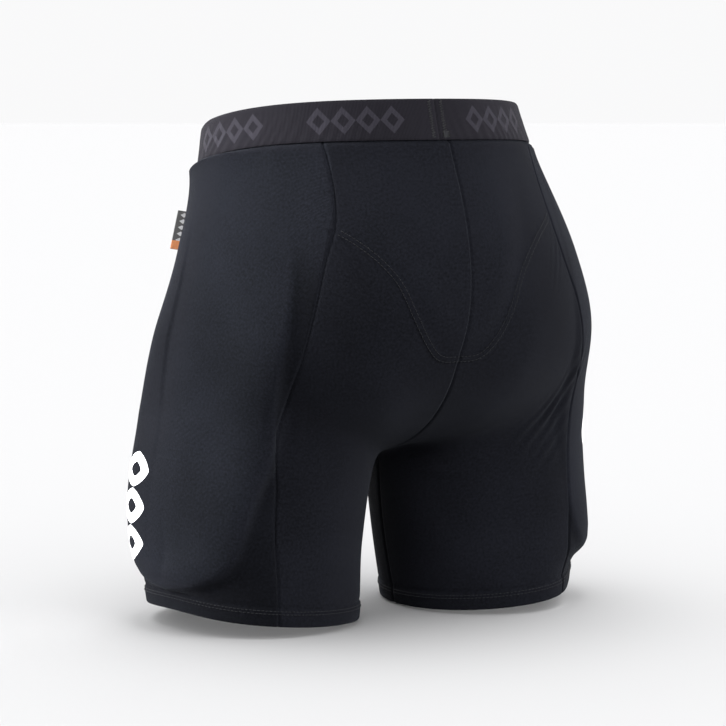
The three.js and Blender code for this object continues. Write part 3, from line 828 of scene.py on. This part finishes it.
band_signed = np.linspace(-1, 1, 701)[None, :]
band_depth = np.linspace(0, 1, 27)[:, None] * BAND_DEPTH
from_edge = np.minimum(band_depth, BAND_DEPTH - band_depth)
band_edge = (1 - from_edge / BAND_EDGE).clip(0, 1) ** 2
band_outer = band_point(band_signed, band_depth, -0.0006 * band_edge)
band_inner = band_point(band_signed, band_depth, -BAND_THICKNESS + 0.0005 * band_edge)
middle_row = band_outer[13]
band_arc = np.cumsum(np.linalg.norm(np.diff(middle_row, axis=0, prepend=middle_row[:1]), axis=-1))
half_length = band_arc[-1] / 2
band_share = band_arc / half_length - 1
# the motifs are spread a little so that a whole number of them meets at the centre back
half_motifs = MOTIF_REPEATS * MOTIF_PERIOD / 2
motif_slack = (half_motifs - half_length) * through(np.abs(band_share), MOTIF_STRETCH)
band_length = band_arc - half_length + motif_slack * np.sign(band_share)
band_spread = np.stack(np.broadcast_arrays(band_length[None, :], -band_depth), -1)

jacquard, tree, shader = new_material("waistband_jacquard", Sheen_Weight=0.06, Sheen_Roughness=0.4,
                                      Sheen_Tint=(0.75, 0.72, 0.85, 1), Specular_IOR_Level=0.06)
place, across, along = cloth_place(tree)
from_join = minus(float(half_motifs), calculate("ABSOLUTE", across))
turned = over(minus(from_join, MOTIF_PHASE), MOTIF_PERIOD)
beside = minus(calculate("FRACT", plus(turned, 0.5)), 0.5)
beside = times(beside, MOTIF_PERIOD)
in_row = calculate("LESS_THAN", calculate("ABSOLUTE", beside), 2 * LOZENGE_WIDTH)
lozenge = times(off_middle(over(beside, LOZENGE_WIDTH)), 2.0)
height = calculate("ABSOLUTE", plus(along, BAND_DEPTH / 2))
height = over(height, LOZENGE_HALF_HEIGHT)
reach = plus(lozenge, height)
solid = calculate("LESS_THAN", reach, 1.0)
hollow = calculate("GREATER_THAN", reach, 0.48)
motif = times(times(solid, in_row), hollow)
warp, weft = wave(across, 0.0011), wave(along, 0.0007)
weave = plus(calculate("MULTIPLY_ADD", warp, 0.35, 0.5),
                  times(weft, 0.15))
ground = between(weave, (0.0030, 0.0027, 0.0040), (0.0078, 0.0072, 0.0100))
figure = between(weave, (0.0090, 0.0082, 0.0115), (0.0175, 0.0163, 0.0220))
shade = remap(noise(place, 14, 5), 0.3, 0.7, 0.86, 1.14)
paint(shader, "Base Color", scaled(mixed(motif, ground, figure), shade))
paint(shader, "Roughness", remap(motif, 0, 1, 0.85, 0.7))
bumped(shader, calculate("MULTIPLY_ADD", motif, 0.5, weave), 0.00025)
band = closed_sheet("waistband_jacquard_band", band_outer, band_inner, True, "garment", jacquard,
                    "waistband_jacquard", replaced=["waistband_elastic"], spread=band_spread)


def plain_weave(name, dark, light, pitch, roughness, sheen):
    """Plain woven cloth of that thread pitch in metres, with slow mottling."""
    material, tree, shader = new_material(name, Sheen_Weight=sheen, Specular_IOR_Level=0.3)
    place, across, along = cloth_place(tree)
    threads_over = times(wave(across, pitch), wave(along, pitch))
    weave = calculate("MULTIPLY_ADD", threads_over, 0.4, 0.5)
    shade = remap(noise(place, 30, 4), 0.3, 0.7, 0.85, 1.15)
    paint(shader, "Base Color", scaled(between(weave, dark, light), shade))
    paint(shader, "Roughness", remap(weave, 0, 1, roughness + 0.08, roughness))
    bumped(shader, weave, pitch / 6)
    return material


TAPE_HALF_WIDTH = 0.009
TAPE_MARGIN = 0.0012
CENTRE_BACK_SCALE = 0.42
tape_weave = plain_weave("join_tape_weave", (0.012, 0.011, 0.016), (0.034, 0.031, 0.042), 0.0009,
                         0.75, 0.2)
tape_signed = np.linspace(-1, 1, 25)[None, :] * TAPE_HALF_WIDTH
tape_depth = np.linspace(TAPE_MARGIN, BAND_DEPTH - TAPE_MARGIN, 37)[:, None]
tape_around = 1 - np.abs(tape_signed) / CENTRE_BACK_SCALE
tape_faces = []
for lift in (-BAND_THICKNESS - 0.0008, -BAND_THICKNESS - 0.0016):
    point, normal, _, _ = form_at(tape_around, band_down(1.0, tape_depth))
    point = point + normal * lift
    point[..., 0] *= np.sign(-tape_signed)
    tape_faces.append(point + FORM_PLACE)
tape = closed_sheet("join_tape", *tape_faces, True, "garment", tape_weave, "elastic",
                    replaced=["waistband_join_tape"])

# ---------------------------------------------------------------- sewing threads
# Twin-needle coverstitch holds the hems and the V of the tailbone pocket, flatlock runs down the
# pouch seams, and zigzags hold the waistband join. Each stitch is a short arched thread.
THREAD_RADIUS = 0.00024
THREAD_SIDES = 6


def threads(name, paths, normals, material, body="garment"):
    """One mesh of many threads. paths and normals are (threads, points, 3): a tube of
    THREAD_SIDES sides follows each path, thinner at its ends."""
    count, steps = paths.shape[:2]
    tangent = np.gradient(paths, axis=1)
    tangent /= np.linalg.norm(tangent, axis=-1, keepdims=True)
    beside = np.cross(tangent, normals)
    beside /= np.linalg.norm(beside, axis=-1, keepdims=True)
    above = np.cross(beside, tangent)
    thick = np.full(steps, THREAD_RADIUS)
    thick[[0, -1]] *= 0.35
    angle = np.arange(THREAD_SIDES) * 2 * pi / THREAD_SIDES
    cosine, sine = np.cos(angle)[:, None], np.sin(angle)[:, None]
    ring = beside[:, :, None] * cosine + above[:, :, None] * sine
    points = (paths[:, :, None] + ring * thick[:, None, None]).reshape(-1, 3)
    index = np.arange(count * steps * THREAD_SIDES).reshape(count, steps, THREAD_SIDES)
    after = np.roll(index, -1, axis=2)
    wall = np.stack([index[:, :-1], after[:, :-1], after[:, 1:], index[:, 1:]], -1).reshape(-1, 4)
    caps = [index[:, 0][:, [3, 2, 1, 0]], index[:, 0][:, [5, 4, 3, 0]],
            index[:, -1][:, [0, 1, 2, 3]], index[:, -1][:, [0, 3, 4, 5]]]
    return mesh_piece(name, points, np.concatenate([wall] + caps), body, material, None)


def stitch_row(around, down, hand, pitch, lift=0.0):
    """Stitches along a line given by its (around, down) points: the line is cut by length into
    stitches of that pitch, each arching from just under the cloth to a thread's width over it."""
    line = cloth(around, down, hand)
    length = np.concatenate([[0], np.cumsum(np.linalg.norm(np.diff(line, axis=0), axis=1))])
    count = int(length[-1] / pitch)
    bend = np.linspace(0, 1, 6)
    at = (np.arange(count)[:, None] + 0.08 + 0.84 * bend) * pitch
    arch = -0.00025 + 0.0006 * np.sin(pi * bend) ** 0.6
    a, d = np.interp(at, length, around), np.interp(at, length, down)
    normal = form_at(a, d)[1] * (hand, 1, 1)
    return cloth(a, d, hand, lift + arch + 0 * a), normal


thread_dark, tree, shader = new_material("dark_thread", Sheen_Weight=0.08, Roughness=0.7,
                                         Specular_IOR_Level=0.1)
coordinate = tree.nodes.new("ShaderNodeTexCoord").outputs["Object"]
paint(shader, "Base Color", between(noise(coordinate, 900, 2), (0.0019, 0.0021, 0.0029),
                                    (0.0062, 0.0066, 0.0088), 0.3, 0.7))

V_NEEDLES = 0.0021
HEM_NEEDLES = 0.0022
POUCH_NEEDLES = 0.0018
rows = []
for hand_name, hand in HANDS:
    fine = np.linspace(0, 1, 400)
    v_beside = 0.0005 + fine * (0.2465 - 0.0005)
    for offset in (-V_NEEDLES, V_NEEDLES):
        v_around, v_down = 1 - v_beside, through(v_beside, TAIL_SEAM)
        _, _, per_around, per_down = form_at(v_around, v_down)
        slope = np.gradient(v_down, v_beside)
        run = np.hypot(per_around, slope * per_down)
        v_around_off = v_around + offset * slope * per_down / run / per_around
        v_down_off = v_down + offset * per_around / run / per_down
        keep = v_around_off > through(v_down_off, BACK_SEAM[hand]) + 0.004
        keep &= v_around_off < 0.9995
        rows.append(stitch_row(v_around_off[keep], v_down_off[keep], hand, 0.0033))
    for offset in (0.0, HEM_NEEDLES):
        h_around = np.linspace(0.002, 0.998, 900)
        h_down = 1 - (HEM_DEPTH - 0.0015 - offset) / hem_scale(h_around)
        rows.append(stitch_row(h_around, h_down, hand, 0.0031))
    for offset in (-POUCH_NEEDLES, POUCH_NEEDLES):
        p_down = np.linspace(0.13, 0.575, 400)
        p_seam = through(p_down, POUCH_SEAM)
        p_around = p_seam + offset / form_at(p_seam, p_down)[2]
        rows.append(stitch_row(p_around, p_down, hand, 0.003))
threads("coverstitch_threads", np.concatenate([path for path, _ in rows]),
        np.concatenate([normal for _, normal in rows]), thread_dark)


def zigzag(centre, spread, start, end, turns):
    """A zigzag down the waistband beside its join: centre and spread in metres, + to the left."""
    s = np.linspace(0, 1, turns * 6 + 1)
    swing = 2 * np.abs((s * turns) % 1 - 0.5) * 2 - 1
    beside = centre + spread * swing
    per_around = form_at(1.0, 0.04)[2]
    signed = np.where(beside > 0, 1, -1) * (1 - np.abs(beside) / per_around)
    return band_point(signed, start + s * (end - start), 0.00018 + 0 * s)


zigzags = [zigzag(offset, 0.0017, 0.001, 0.031, 16) for offset in (-0.0052, 0.0052)]
bartack = zigzag(-0.0060, 0.0030, 0.0255, 0.0305, 16)
normal = np.broadcast_to([0.0, 1.0, 0.15], (3, len(bartack), 3))
threads("join_zigzag_threads", np.stack(zigzags + [bartack]), normal, thread_dark)

# ---------------------------------------------------------------- hem elastics
# A band of woven elastic lies inside each turned hem and grips the thigh.
for hand_name, hand in HANDS:
    e_around = np.linspace(0.003, 0.997, 300)[None, :] * np.ones((9, 1))
    e_down = 1 - np.linspace(HEM_DEPTH - 0.0008, 0.0022, 9)[:, None] / hem_scale(e_around)
    elastic_faces = [cloth(e_around, e_down, hand, lift + 0 * e_around)
                     for lift in (-0.0011, -0.0020)]
    elastic = closed_sheet(f"{hand_name}_hem_band", *elastic_faces, hand < 0, "garment", tape_weave,
                           "elastic", replaced=[f"{hand_name}_hem_elastic"])

# ---------------------------------------------------------------- impact pads
# Moulded foam pads shaped to the body: a long shield over each hip and thigh and a small one over
# the tailbone. Channels moulded in the outer face let them bend, and small holes let them breathe.
CLEARANCE = 0.0036
HIP_FOAM = 0.012
TAIL_FOAM = 0.011
PAD_EDGE = 0.006
foam, tree, shader = new_material("moulded_foam", Specular_IOR_Level=0.35)
place, across, along = cloth_place(tree)
grain = noise(place, 1400, 3)
holes = tree.nodes.new("ShaderNodeTexVoronoi")
holes.inputs["Scale"].default_value = 110
holes.inputs["Randomness"].default_value = 0.0
tree.links.new(place, holes.inputs["Vector"])
hole = remap(holes.outputs["Distance"], 0.14, 0.2, 0.0, 1.0)
shade = times(remap(noise(place, 25, 4), 0.3, 0.7, 0.85, 1.15),
                  remap(hole, 0, 1, 0.15, 1.0))
foam_colour = between(grain, (0.030, 0.033, 0.037), (0.052, 0.055, 0.060), 0.3, 0.7)
paint(shader, "Base Color", scaled(foam_colour, shade))
paint(shader, "Roughness", remap(grain, 0.3, 0.7, 0.6, 0.75))
bumped(shader, calculate("MULTIPLY_ADD", grain, 0.2, hole), 0.0006)


def foam_depth(reach, thickness):
    """How thick a pad is: its whole thickness inside, thinning to PAD_EDGE at its outline."""
    return thickness + (PAD_EDGE - thickness) * smooth(reach, 0.55, 1)


def pad(name, body, hand, outline, thickness, channels, rings, spokes):
    """A pad in rings round its middle, over an outer and an inner face. The outer face rounds
    off to the edge; channels are given across and along the pad, -1 to 1."""
    middle, half_around, half_down, taper, power = outline
    reach = np.sin(np.linspace(0, pi / 2, rings))[:, None]
    angle = np.arange(spokes)[None, :] * 2 * pi / spokes
    c, s = np.cos(angle), np.sin(angle)
    along = reach * np.sign(s) * np.abs(s) ** (2 / power)
    beside = reach * np.sign(c) * np.abs(c) ** (2 / power)
    across = middle[0] + half_around * (1 + taper * along) * beside
    around, down = np.where(across > 1, 2 - across, across), middle[1] + half_down * along
    turn = np.where(across > 1, -1, 1)
    point, normal, per_around, per_down = form_at(around, down)
    dent = 0
    for lines, local, metres in ((channels[0], beside, half_around * per_around),
                                 (channels[1], along, half_down * per_down)):
        for line in lines:
            dent = dent + groove((local - line) * metres, 0.0022, 0.0018)
    dent = dent * (1 - smooth(reach, 0.8, 0.92))
    plateau = through(down, PAD_PLATEAU[hand]) - drawn_in(around, down, hand)
    if body == "tail_pad":
        plateau = tail_rise(around, down)
    outer = plateau - CLEARANCE - 0.0022 * smooth(reach, 0.7, 1) + dent
    inner = plateau - CLEARANCE - foam_depth(reach, thickness)
    rim = (outer[-1] + inner[-1]) / 2
    shells = []
    for lift in (outer, inner[::-1]):
        turned = slice(None, None, -1) if lift is not outer else slice(None)
        shell = point[turned] + normal[turned] * lift[..., None]
        shell[..., 0] *= hand * turn[turned]
        shells.append(shell)
    bulge = point[-1] + normal[-1] * rim[..., None]
    out_way = point[-1] - point[-2]
    bulge = bulge + out_way / np.linalg.norm(out_way, axis=-1, keepdims=True) * 0.0012
    bulge[..., 0] *= hand * turn[-1]
    points = np.concatenate([shells[0], bulge[None], shells[1]])
    index = np.arange(points.shape[0] * spokes).reshape(-1, spokes)
    after = np.roll(index, -1, axis=1)
    faces = np.stack([index[:-1], index[1:], after[1:], after[:-1]], -1).reshape(-1, 4)
    if hand > 0:
        faces = faces[:, ::-1]
    flat = np.stack([beside * half_around * per_around, along * half_down * per_down], -1)
    spread = np.concatenate([flat, flat[-1:], flat[::-1]]).reshape(-1, 2)
    piece = mesh_piece(f"{name}_foam", (points + FORM_PLACE).reshape(-1, 3), faces, body, foam,
                       "impact_foam", replaced=[name], spread=spread)


for hand_name, hand in HANDS:
    pad(f"{hand_name}_hip_pad", f"{hand_name}_pad", hand, HIP_PAD, HIP_FOAM,
        ((-0.4, 0.4), (-0.66, -0.33, 0.0, 0.33, 0.66)), 60, 160)
pad("tailbone_pad", "tail_pad", 1, TAIL_PAD, TAIL_FOAM, ((-0.35, 0.35), (-0.3, 0.3)), 40, 120)

# ---------------------------------------------------------------- pad pockets
# Each pad lies in a pocket between the shell and a lining of thin open mesh. The lining hangs
# slack behind the pad and is caught in the seams and the coverstitch round it.
mesh_cloth, tree, shader = new_material("pocket_mesh", Roughness=0.85, Sheen_Weight=0.06,
                                        Specular_IOR_Level=0.1)
place, across, along = cloth_place(tree)
cells = tree.nodes.new("ShaderNodeTexVoronoi")
cells.inputs["Scale"].default_value = 420
cells.inputs["Randomness"].default_value = 0.15
tree.links.new(place, cells.inputs["Vector"])
opening = remap(cells.outputs["Distance"], 0.2, 0.42, 0.0, 1.0)
paint(shader, "Base Color", between(opening, (0.003, 0.003, 0.004), (0.022, 0.023, 0.027)))
bumped(shader, opening, 0.0004)


def lining(reach, thickness, end):
    """How deep a pocket lining lies: slack behind the pad, and close to the shell beyond it."""
    behind = 0.002 + foam_depth(reach, thickness) + 0.005
    return 0.0016 + behind + (0.0008 - behind) * smooth(reach, *end)


for hand_name, hand in HANDS:
    s, t = np.linspace(0, 1, 90)[None, :], np.linspace(0, 1, 150)[:, None]
    rough = 0.13 + t * 0.82
    edges = []
    for seam, inset in ((FRONT_SEAM, 0.005), (BACK_SEAM[hand], -0.005)):
        edges.append(through(rough, seam) + inset / form_at(through(rough, seam), rough)[2])
    l_around = edges[0] + s * (edges[1] - edges[0])
    top = band_down(l_around, BAND_DEPTH + 0.0025)
    bottom = 1 - (HEM_DEPTH + 0.0035) / hem_scale(l_around)
    l_down = top + t * (bottom - top)
    reach = pad_reach(l_around, l_down, *HIP_PAD)
    depth = lining(reach, HIP_FOAM, (1.07, 1.15))
    plateau = through(l_down, PAD_PLATEAU[hand]) * (1 - smooth(reach, 0.94, 1.1))
    plateau = np.minimum(plateau, 0.004) - drawn_in(l_around, l_down, hand)
    point, normal, _, _ = form_at(l_around, l_down)
    liner_faces = []
    for lift in (-0.0002 - depth, -0.0007 - depth):
        face = point + normal * (lift + plateau)[..., None]
        liner_faces.append(face * (hand, 1, 1) + FORM_PLACE)
    liner = closed_sheet(f"{hand_name}_hip_lining", *liner_faces, hand < 0, "garment", mesh_cloth,
                         "pocket_mesh", replaced=[f"{hand_name}_hip_pocket_liner"])

s, t = np.linspace(-1, 1, 121)[None, :], np.linspace(0, 1, 70)[:, None]
l_around = 1 - np.abs(s) * 0.215 + 0 * t
top = band_down(l_around, BAND_DEPTH + 0.0025)
l_down = top + t * (through(1 - l_around, TAIL_SEAM) - 0.002 - top)
tail_depth = lining(pad_reach(l_around, l_down, *TAIL_PAD), TAIL_FOAM, (1.12, 1.28))
plateau = tail_rise(l_around, l_down)
point, normal, _, _ = form_at(l_around, l_down)
liner_faces = []
for lift in (-0.0002, -0.0007):
    face = point + normal * (lift - tail_depth + plateau)[..., None]
    face[..., 0] *= np.sign(-s)
    liner_faces.append(face + FORM_PLACE)
tail_liner = closed_sheet("tailbone_lining", *liner_faces, True, "garment", mesh_cloth,
                          "pocket_mesh", replaced=["tailbone_pocket_liner"])

# ---------------------------------------------------------------- labels
# A folded woven label stands out of the wearer's left front seam, and a satin care label hangs
# inside the same seam. Both are loops of ribbon whose ends are caught in the seam.
SIDE_LENGTH = 0.379


def label(name, body, replaced, down, long, out, half, lean, base, material, slot_name):
    """A loop of ribbon standing on the seam: out and back over a half circle, extruded along the
    seam, from down on. lean turns it about the seam, base is how far off the cloth it starts."""
    down = down + long / SIDE_LENGTH / 2
    around = through(np.array([down]), FRONT_SEAM)
    point, normal, _, _ = form_at(around, np.array([down]))
    above, under = (form_at(around, np.array([down + step]))[0] for step in (-0.01, 0.01))
    down_way = Vector((under - above)[0]).normalized()
    stand = Vector(normal[0])
    stand.rotate(Quaternion(down_way, lean))
    across = stand.cross(down_way)
    start = Vector(point[0]) + Vector(FORM_PLACE) + Vector(normal[0]) * base
    angle = np.linspace(0, pi, 9)
    run = np.linspace(-0.0012, out - half, 24)
    faces = []
    for h in (half, half - 0.00025):
        path_out = np.concatenate([run, out - half + h * np.sin(angle)[1:-1], run[::-1]])
        path_side = np.concatenate([0 * run + h, h * np.cos(angle)[1:-1], 0 * run - h])
        along = np.linspace(-long / 2, long / 2, 34)
        faces.append(np.array(start) + path_out[:, None, None] * np.array(stand)
                     + path_side[:, None, None] * np.array(across)
                     + along[None, :, None] * np.array(down_way))
    piece = closed_sheet(name, *faces, False, body, material, slot_name, replaced=[replaced])


woven, tree, shader = new_material("woven_label", Sheen_Weight=0.2, Roughness=0.7)
place, across, along = cloth_place(tree)
weave = calculate("MULTIPLY_ADD", wave(plus(across, along), 0.0006), 0.3, 0.5)
lozenge, height = off_middle(over(across, 0.0052)), off_middle(over(along, 0.0098))
motif = calculate("LESS_THAN", calculate("MULTIPLY_ADD", height, 1.2, lozenge), 0.36)
bar = calculate("GREATER_THAN", across, 0.0085)
motif = times(motif, minus(1.0, bar))
ground = mixed(bar, between(weave, (0.0020, 0.0020, 0.0028), (0.0065, 0.0062, 0.0080)),
               between(weave, (0.20, 0.055, 0.006), (0.34, 0.10, 0.012)))
figure = between(weave, (0.16, 0.16, 0.165), (0.30, 0.30, 0.31))
paint(shader, "Base Color", mixed(motif, ground, figure))
bumped(shader, weave, 0.00015)
label("side_label_loop", "outer_label", "side_label", 0.150, 0.032, 0.0095, 0.0006, 0.0, 0.0, woven,
      "woven_label")

satin, tree, shader = new_material("care_satin", Roughness=0.35, Sheen_Weight=0.3)
place, across, along = cloth_place(tree)
line = calculate("FRACT", over(along, 0.0022))
line = calculate("COMPARE", line, 0.5, 0.16)
broken = calculate("GREATER_THAN", noise(place, 700, 1), 0.47)
margin = calculate("LESS_THAN", calculate("ABSOLUTE", across), 0.015)
ink = times(times(line, broken), margin)
threads_across = wave(along, 0.00035)
paint(shader, "Base Color", between(ink, (0.72, 0.72, 0.71), (0.10, 0.10, 0.11)))
bumped(shader, threads_across, 0.00006)
label("care_label_loop", "inner_label", "care_label", 0.14, 0.038, 0.0255, 0.0004, 1.85, -0.0026,
      satin, "care_satin")

# ---------------------------------------------------------------- leg prints
# Pale heat-transfer prints on the outer thighs: a column of three open lozenges low on the left
# leg and a single one on the right. The film is a tenth of a millimetre thick and follows the knit.
ink_film, tree, shader = new_material("transfer_ink", Specular_IOR_Level=0.4)
place, across, along = cloth_place(tree)
wear = noise(place, 900, 3)
paint(shader, "Base Color", between(wear, (0.70, 0.71, 0.73), (0.88, 0.88, 0.89), 0.3, 0.6))
paint(shader, "Roughness", remap(wear, 0.3, 0.7, 0.45, 0.65))
bumped(shader, wear, 0.0001)


def print_lozenge(name, hand, centre, half, hollow, replaced):
    """One lozenge of a print, a diamond ring |x| + |y| = 1 with softened corners: centre and half
    sizes are (around, down), hollow is the share of it left open in the middle."""
    turn = np.arange(96)[:, None] * 2 * pi / 96
    c, s = np.cos(turn), np.sin(turn)
    reach = np.linspace(hollow, 1, 9)[None, :] / (np.abs(c) ** 1.4 + np.abs(s) ** 1.4) ** (1 / 1.4)
    spot = form_at(centre[0] + np.array([0, 0.01, 0]), centre[1] + np.array([0, 0, 0.01]))[0]
    wide, tall = spot[1] - spot[0], spot[2] - spot[0]
    skew = (wide @ tall) / (wide @ wide)
    ring_around, ring_down = centre[0] + half[0] * reach * c, centre[1] + half[1] * reach * s
    ring_around = ring_around - skew * (ring_down - centre[1])
    outer, inner = (cloth(ring_around, ring_down, hand, lift) for lift in (0.00022, 0.00008))
    rows, columns = reach.shape
    index = np.arange(rows * columns).reshape(rows, columns)
    after = np.roll(index, -1, axis=0)
    count = rows * columns
    face = np.stack([index[:, :-1], index[:, 1:], after[:, 1:], after[:, :-1]], -1).reshape(-1, 4)
    outside = np.stack([index[:, -1], index[:, -1] + count, after[:, -1] + count, after[:, -1]], -1)
    inside = np.stack([index[:, 0], after[:, 0], after[:, 0] + count, index[:, 0] + count], -1)
    faces = np.concatenate([face, face[:, ::-1] + count, outside, inside])
    if hand > 0:
        faces = faces[:, ::-1]
    flat = np.stack([reach * c * 0.02, reach * s * 0.02], -1).reshape(-1, 2)
    mesh_piece(name, np.concatenate([outer.reshape(-1, 3), inner.reshape(-1, 3)]), faces, "garment",
               ink_film, "print_ink", replaced=replaced, spread=np.concatenate([flat, flat]))


for number, middle in enumerate((0.715, 0.790, 0.865)):
    print_lozenge(f"left_print_lozenge_{number + 1}", 1, (0.458, middle), (0.036, 0.036), 0.42,
                  ["left_leg_print"] if number == 0 else [])
print_lozenge("right_print_lozenge", -1, (0.595, 0.661), (0.017, 0.034), 0.4, ["right_leg_print"])
